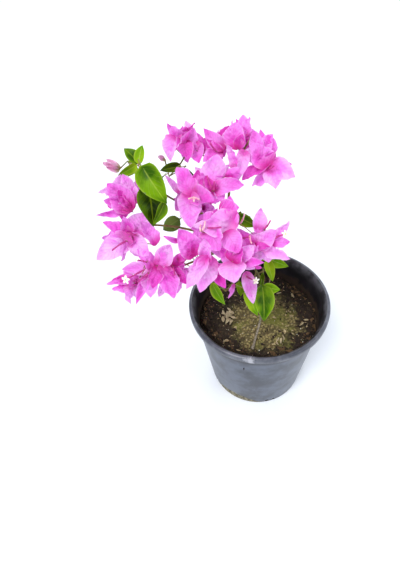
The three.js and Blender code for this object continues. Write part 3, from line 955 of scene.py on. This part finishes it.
class Spray:
    """What grows in the place of one mass."""

    def __init__(self, name, seed, flowers, twigs, limbs):
        self.name = name
        self.rng = np.random.default_rng(FIRST_SEED + seed)
        self.seed = seed
        self.middle, self.half = mass_place(name)
        self.forward = unit(CAMERA_PLACE - self.middle)
        self.depth = depth_of(self.middle)
        self.scale = self.depth / FORK_DEPTH
        self.sheets = Joined([LIT_BRACT, MID, SHADED_BRACT, BUD])
        self.leaves = Joined([LIT_LEAF, GREEN, SHADED_LEAF, "leaf_under"])
        self.flowers = flowers
        self.twigs = twigs
        self.grow_twig(limbs)

    def grow_twig(self, limbs):
        """From the nearest limb to a hub below and behind the middle of the mass."""
        below = self.middle - 0.3 * self.half[2] * np.array([0, 0, 1])
        self.hub = below - 0.5 * self.half.min() * self.forward
        foot = limbs[np.argmin(np.linalg.norm(limbs - self.hub, axis=1))]
        span = np.linalg.norm(self.hub - foot)
        if span > SHORTEST_TWIG:
            sag = np.array([0, 0, -0.08 * span])
            self.add_twig([foot, (foot + self.hub) / 2 + sag, self.hub], 1.0, 0.75, "shoot")

    def add_twig(self, path, first, last, tint):
        points, radii = curve(path, TWIG_POINTS), np.linspace(first, last, TWIG_POINTS)
        self.twigs.add_grid(tube_grid(points, radii, TWIG_SIDES), tint, closed=True, flip=True)

    def add_stalk(self, foot, axis, first, last):
        """A stalk from the hub that arrives at foot along axis."""
        reach = np.linalg.norm(foot - self.hub)
        if reach > SHORTEST_STALK:
            lead = min(0.45 * reach, STALK_LEAD)
            self.add_twig([self.hub, foot - lead * axis, foot], first, last, "stalk")

    def ends(self, foot_right, foot_up, tip_right, tip_up, foot_nearer, tip_nearer):
        """Where a shown piece starts and ends, each end so much nearer than the middle of the mass."""
        foot = seen_place(foot_right, foot_up, self.depth - foot_nearer)
        return foot, seen_place(tip_right, tip_up, self.depth - tip_nearer)

    def facing(self, along, degrees):
        """Square to along and turned to the viewer, then rolled by some degrees."""
        face = across(self.forward, along)
        roll = math.radians(degrees)
        return math.cos(roll) * face + math.sin(roll) * np.cross(along, face)

    def shown_bract(self, *row):
        *places, width, depth, tint = row
        rise = self.rng.uniform(1, 7)
        foot, tip = self.ends(*places, depth - rise, depth + rise)
        face = self.facing(unit(tip - foot), self.rng.uniform(-ROLL_LIMIT, ROLL_LIMIT))
        self.sheets.add_grid(bract_sheet(foot, tip, face, width * self.scale, self.rng), tint)
        self.add_stalk(foot, self.forward, 0.6, 0.5)

    def shown_flower(self, *row):
        *places, depth, tint, star_radius = row
        foot, end = self.ends(*places, depth - 4, depth + 1)
        bulge = 0.6 * across(self.rng.normal(size=3), unit(end - foot))
        add_flower(self.flowers, foot, end, bulge, 0, tint, self.rng)
        self.add_stalk(foot, self.forward, 0.5, 0.45)
        if star_radius:
            add_star(self.flowers, end, unit(self.forward + 0.8 * unit(end - foot)), star_radius, self.rng)

    def shown_leaf(self, *row):
        *places, width, depth, roll, tint = row
        foot, tip = self.ends(*places, depth - 2, depth + 2)
        along = unit(tip - foot)
        face = self.facing(along, roll)
        self.leaf(foot, along, face, np.linalg.norm(tip - foot), width * self.scale, tint)

    def leaf(self, foot, along, face, length, width, tint):
        add_leaf(self.leaves, foot, along, face, length, width, tint, self.rng)
        self.add_stalk(foot, along, 0.6, 0.45)

    def triad(self, foot, axis, length, opening, stars, tints):
        out = across(self.rng.normal(size=3), axis)
        add_triad(self.sheets, self.flowers, foot, axis, out, length, opening, tints, stars, self.rng)
        self.add_stalk(foot, axis, 0.75, 0.6)

    def random_tints(self):
        return tuple(self.rng.choice([LIT_BRACT, MID, SHADED_BRACT], 3, p=[0.35, 0.45, 0.2]))

    def filling_triad(self):
        """Behind the shown bracts, facing the viewer."""
        axis = unit(self.forward + 0.3 * self.rng.normal(size=3))
        foot = self.middle - 8 * self.forward + 2 * self.rng.normal(size=3)
        length = FILLING_SIZE * self.half.min()
        self.triad(foot, axis, length, FILLING_OPENING, 0, self.random_tints())

    def hidden_triads(self):
        count = ALL_ROUND_TRIADS.get(self.name, HIDDEN_TRIADS)
        limit = 1.1 if self.name in ALL_ROUND_TRIADS else -0.35
        away = [d for d in spiral_directions(self.seed) if np.dot(d, self.forward) < limit]
        for direction in away[:count]:
            foot = self.middle + direction * self.half * self.rng.uniform(0.02, 0.22) - 4 * self.forward
            length = min(LONGEST_BRACT, self.half.min() + 3) * self.rng.uniform(0.9, 1.02)
            stars = int(self.rng.random() < HIDDEN_STARS)
            opening = self.rng.uniform(36, 56)
            self.triad(foot, direction, length, opening, stars, self.random_tints())

    def hidden_leaves(self, leafy):
        directions = spiral_directions(self.seed + 5)
        away = [d for d in directions if np.dot(d, self.forward) < -0.72 and d[2] > -0.9]
        for direction in away[:HIDDEN_LEAVES]:
            foot = self.middle + direction * self.half * 0.2 if leafy else self.hub + direction * 5
            length = min(LONGEST_LEAF, self.half.min() + 3) * self.rng.uniform(0.85, 1.0)
            tint = str(self.rng.choice([LIT_LEAF, GREEN, SHADED_LEAF]))
            face = np.array([0, 0, 1.0]) + 0.3 * direction[::-1]
            self.leaf(foot, direction, face, length, LEAF_SHAPE * length, tint)

    def build(self):
        leafy = self.name.startswith("leaves")
        for row in SHOWN_BRACTS.get(self.name, []):
            self.shown_bract(*row)
        for row in SHOWN_FLOWERS.get(self.name, []):
            self.shown_flower(*row)
        backed = self.name not in BARE_BACKS
        if backed and not leafy:
            self.filling_triad()
            self.hidden_triads()
        for row in SHOWN_LEAVES.get(self.name, []):
            self.shown_leaf(*row)
        if backed:
            self.hidden_leaves(leafy)
        short = self.name.split("_", 1)[1]
        self.build_piece(self.sheets, "bract_spray_" + short, not leafy)
        self.build_piece(self.leaves, "foliage_" + short, leafy)

    def build_piece(self, joined, name, stands_in):
        if not joined.total:
            return
        piece = joined.build(name, cells=True)
        if stands_in:
            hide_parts(self.name)


def make_sprays():
    flowers = Joined([RED, PALE, "star", "star_eye"])
    twigs = Joined(["shoot", "stalk"])
    limbs = limb_points()
    masses = sorted(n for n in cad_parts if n.startswith(("bracts_", "leaves_")))
    for seed, name in enumerate(masses):
        Spray(name, seed, flowers, twigs, limbs).build()
    flowers.build("flowers")
    twigs.build("twigs")


# ---- pot
POT_SEGMENTS = 168
SOLE_BEVEL = 4.0  # how far inside the foot the flat underside ends
DRAIN_PAIRS = 5
DRAIN_FIRST = 276.0
DRAIN_SPREAD = 4.0
DRAIN_SIZE = (14.0, 5.5, 9.0)
DRAIN_SKIN = 0.5  # left under each notch, so that its inside looks dark


def circle(radius, height, segments):
    """Points round the pot's axis; the radius may change from one to the next."""
    angles = np.arange(segments) * TURN / segments
    return np.stack([radius * np.cos(angles), radius * np.sin(angles), np.full(segments, height)], axis=1)


def pot_profile():
    """Radius and height by material: from the underside's middle up the outside and down the inside."""
    rim, base, top = pot_sizes()
    wall_top = rim - LIP_REACH
    under = top - LIP_HEIGHT

    def wall(z):
        return base + TAPER * z / under

    outside = [(0.01, 0), (base - SOLE_BEVEL, 0), (base - 2, 0), (base - 0.6, 0.6), (base, 2)]
    outside += [(wall(z), z) for z in np.linspace(4, under - 2.4, 26)]
    outside += [(wall(under) - 0.5, under - 1.6), (wall(under) - 0.4, under - 0.2)]
    lip = [(rim - 1.4, under), (rim - 0.4, under + 0.5), (rim, under + 1.5), (rim, top - 3.2)]
    lip += [(rim - 0.5, top - 1.6), (rim - 1.7, top - 0.5), (rim - 3.2, top), (rim - 4.6, top)]
    inside = [(rim - 5.6, top - 0.5), (wall_top - 1.2, top - 4.5), (wall_top - WALL, under)]
    inside += [(wall(z) - WALL, z) for z in np.linspace(under - 6, WALL, 14)]
    inside += [(0.01, WALL)]
    return {"pot_wall": outside, "pot_lip": lip, "pot_inside": inside}


def pot_wobble(angle, height, top):
    """Moulded plastic is never quite round: a few slow waves, and a rubbed dent at the front of the lip."""
    wave = 0.35 * np.sin(2 * angle + 0.6) + 0.2 * np.sin(5 * angle + 2.0)
    dent = -0.9 * np.exp(-(((angle - SCUFF_ANGLE) / 0.09) ** 2)) * smoothstep(height, top - 8, top - 3)
    return wave * smoothstep(height, 5, top) * 0.6 + dent


def make_pot():
    profile = pot_profile()
    _, foot, top = pot_sizes()
    angles = np.arange(POT_SEGMENTS) * TURN / POT_SEGMENTS
    joined = Joined(list(profile))
    grid, slots = [], []
    for slot, rows in enumerate(profile.values()):
        for radius, height in rows:
            wobble = pot_wobble(angles, height, top) if radius > 1 else 0
            grid.append(circle(radius + wobble, height, POT_SEGMENTS))
            slots.append(slot)
    joined.add_grid(np.array(grid), "pot_wall", closed=True)
    joined.slots = list(np.repeat(slots[1:], POT_SEGMENTS))
    piece = joined.build("nursery_pot")
    cut_drains(piece, foot)
    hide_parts("pot")


def cut_drains(piece, foot):
    """Pairs of small notches round the foot, their cut faces painted near black as shade."""
    cutters = Joined(["notch"])
    box = np.array([(x, y, z) for x in (-0.5, 0.5) for y in (-0.5, 0.5) for z in (0, 1)]) * DRAIN_SIZE
    box = box + (foot, 0, DRAIN_SKIN)
    faces = [(0, 1, 3, 2), (4, 6, 7, 5), (0, 4, 5, 1), (2, 3, 7, 6), (0, 2, 6, 4), (1, 5, 7, 3)]
    for pair in range(DRAIN_PAIRS):
        for side in (-1, 1):
            angle = math.radians(DRAIN_FIRST + 360 / DRAIN_PAIRS * pair + side * DRAIN_SPREAD)
            c, s = math.cos(angle), math.sin(angle)
            x, y, z = box.T
            cutters.add(np.stack([x * c - y * s, x * s + y * c, z], axis=1), faces, "notch")
    cutter = cutters.build("drain_cutter", smooth=False)
    modifier = piece.modifiers.new("drains", "BOOLEAN")
    modifier.operation = "DIFFERENCE"
    modifier.solver = "EXACT"
    modifier.object = cutter
    # The cut faces take the near-black notch colour, which is painted shade on black plastic.
    modifier.material_mode = "TRANSFER"
    graph = bpy.context.evaluated_depsgraph_get()
    mesh = bpy.data.meshes.new_from_object(piece.evaluated_get(graph))
    piece.modifiers.clear()
    piece.data = mesh
    bpy.data.objects.remove(cutter)


# ---- soil
SOIL_RINGS = 78
SOIL_SEGMENTS = 220
SOIL_LEVEL = STEM_FOOT[2] - 0.2
SOIL_RADIUS = mass_place("soil")[1][0] + 0.6  # where it meets the wall
SOIL_BASE = 2.3  # height of its underside


def soil_height(x, y):
    outer = float(smoothstep(math.hypot(x - SANDY_MIDDLE[0], y - SANDY_MIDDLE[1]), 38, 66))
    lumps = 2.6 * noise.fractal(Vector((x / 26, y / 26, 0.3)), 0.9, 2.1, 3)
    crumbs = (1.3 + 1.5 * outer) * noise.fractal(Vector((x / 5.5, y / 5.5, 4.1)), 0.7, 2.2, 4)
    near_stem = math.hypot(x - STEM_FOOT[0], y - STEM_FOOT[1])
    calm = float(smoothstep(near_stem, 3, 14))
    edge = float(smoothstep(math.hypot(x, y), SOIL_RADIUS - 9, SOIL_RADIUS))
    return SOIL_LEVEL + (lumps + crumbs) * calm - 3.2 * edge


def make_soil():
    rows = []
    for ring in range(SOIL_RINGS + 1):
        r = max(0.01, SOIL_RADIUS * ring / SOIL_RINGS)
        row = []
        for segment in range(SOIL_SEGMENTS):
            a = segment * TURN / SOIL_SEGMENTS
            x, y = r * math.cos(a), r * math.sin(a)
            row.append((x, y, soil_height(x, y)))
        rows.append(np.array(row))
    foot = pot_sizes()[1] - WALL - 0.5
    for r, height in ((foot + 1.0, 16.0), (foot - DRAIN_SIZE[0], SOIL_BASE), (0.01, SOIL_BASE)):
        rows.append(circle(r, height, SOIL_SEGMENTS))
    joined = Joined(["soil"])
    joined.add_grid(np.array(rows), "soil", closed=True, flip=True)
    piece = joined.build("potting_soil")
    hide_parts("soil")


CRUMB_KINDS = ("chip_dark", "chip_brown", "chip_pale", "chip_white")
CRUMB_SHARES = (0.56, 0.30, 0.11, 0.03)
CRUMBS = 2600
CRUMB_SEED = 77
CLOD_ZONE = 0.72  # of the soil's radius: clods lie outside it
CLOD_SHARE = 0.09  # of the crumbs there


def crumb_points(size, rng):
    """An uneven eight-sided lump."""
    lump = np.array([(1, 0, 0), (-1, 0, 0), (0, 1, 0), (0, -1, 0), (0, 0, 1), (0, 0, -1)], float)
    lump = lump * rng.uniform(0.5, 1.2, (6, 1)) + rng.normal(0, 0.16, (6, 3))
    stretch = np.array([rng.uniform(0.6, 2.0), rng.uniform(0.5, 1.0), rng.uniform(0.3, 0.8)])
    turned = Matrix.Rotation(rng.uniform(0, TURN), 3, "Z") @ Matrix.Rotation(rng.uniform(-0.7, 0.7), 3, "X")
    return (lump * stretch * size) @ np.array(turned).T


def make_crumbs():
    rng = np.random.default_rng(CRUMB_SEED)
    faces = [(0, 2, 4), (2, 1, 4), (1, 3, 4), (3, 0, 4), (2, 0, 5), (1, 2, 5), (3, 1, 5), (0, 3, 5)]
    crumbs = Joined(list(CRUMB_KINDS))
    for _ in range(CRUMBS):
        kind = str(rng.choice(CRUMB_KINDS, p=CRUMB_SHARES))
        dark = kind in ("chip_dark", "chip_brown")
        share = math.sqrt(rng.random())
        share = share**0.35 if dark else share
        a = rng.uniform(0, TURN)
        x, y = (SOIL_RADIUS - 2) * share * math.cos(a), (SOIL_RADIUS - 2) * share * math.sin(a)
        size = min(4.0, 0.7 + rng.exponential(1.0 if kind == "chip_dark" else 0.55))
        if dark and share > CLOD_ZONE and rng.random() < CLOD_SHARE:
            size = rng.uniform(3.0, 6.0)
        if kind == "chip_white":
            size = rng.uniform(0.5, 1.1)
        z = soil_height(x, y) + 0.15 * size
        crumbs.add(crumb_points(size, rng) + (x, y, z), faces, kind)
    crumbs.build("soil_crumbs", smooth=False)


# Dried leaves lie where they have gathered: angle and distance from the pot's middle, and how long they are.
DRY_LEAVES = (
    (172, 49, 12), (178, 42, 11), (166, 50, 10), (185, 47, 12), (160, 43, 9), (181, 52, 10), (175, 45, 13),
    (190, 41, 9), (168, 39, 10), (180, 37, 9), (171, 43, 12), (186, 42, 10), (176, 50, 9), (182, 45, 8),
    (288, 56, 8), (294, 57, 9), (299, 55, 8), (292, 52, 6), (20, 66, 9), (340, 72, 8), (70, 50, 8),
    (120, 66, 10), (235, 70, 8), (140, 74, 9), (60, 70, 9), (38, 54, 10), (215, 66, 9), (334, 66, 8),
)
DRY_LEAF_SEED = 31
DRY_LEAF_LIFT = 2.4  # of the foot above the soil


def make_dry_leaves():
    rng = np.random.default_rng(DRY_LEAF_SEED)
    dry = Joined(["leaf_dry", "leaf_under"])
    for degrees, distance, length in DRY_LEAVES:
        a = math.radians(degrees)
        x, y = distance * math.cos(a), distance * math.sin(a)
        heading = rng.uniform(0, TURN)
        foot = np.array([x, y, soil_height(x, y) + DRY_LEAF_LIFT])
        along = unit((math.cos(heading), math.sin(heading), rng.uniform(-0.15, 0.1)))
        face = unit((rng.uniform(-0.8, 0.8), rng.uniform(-0.8, 0.8), 1))
        fold, droop = rng.uniform(0.5, 1.5), rng.uniform(-110, 30)
        width = length * rng.uniform(0.2, 0.5)
        add_leaf(dry, foot - along * length / 2, along, face, length, width, "leaf_dry", rng, fold, droop)
    dry.slots = [0] * len(dry.slots)  # both skins are dry
    dry.build("dry_leaves", cells=True)


# ---- the whole
MATERIALS = make_materials()
make_camera()
make_floor()
make_studio()
make_pot()
make_soil()
make_crumbs()
make_dry_leaves()
make_limbs()
make_sprays()
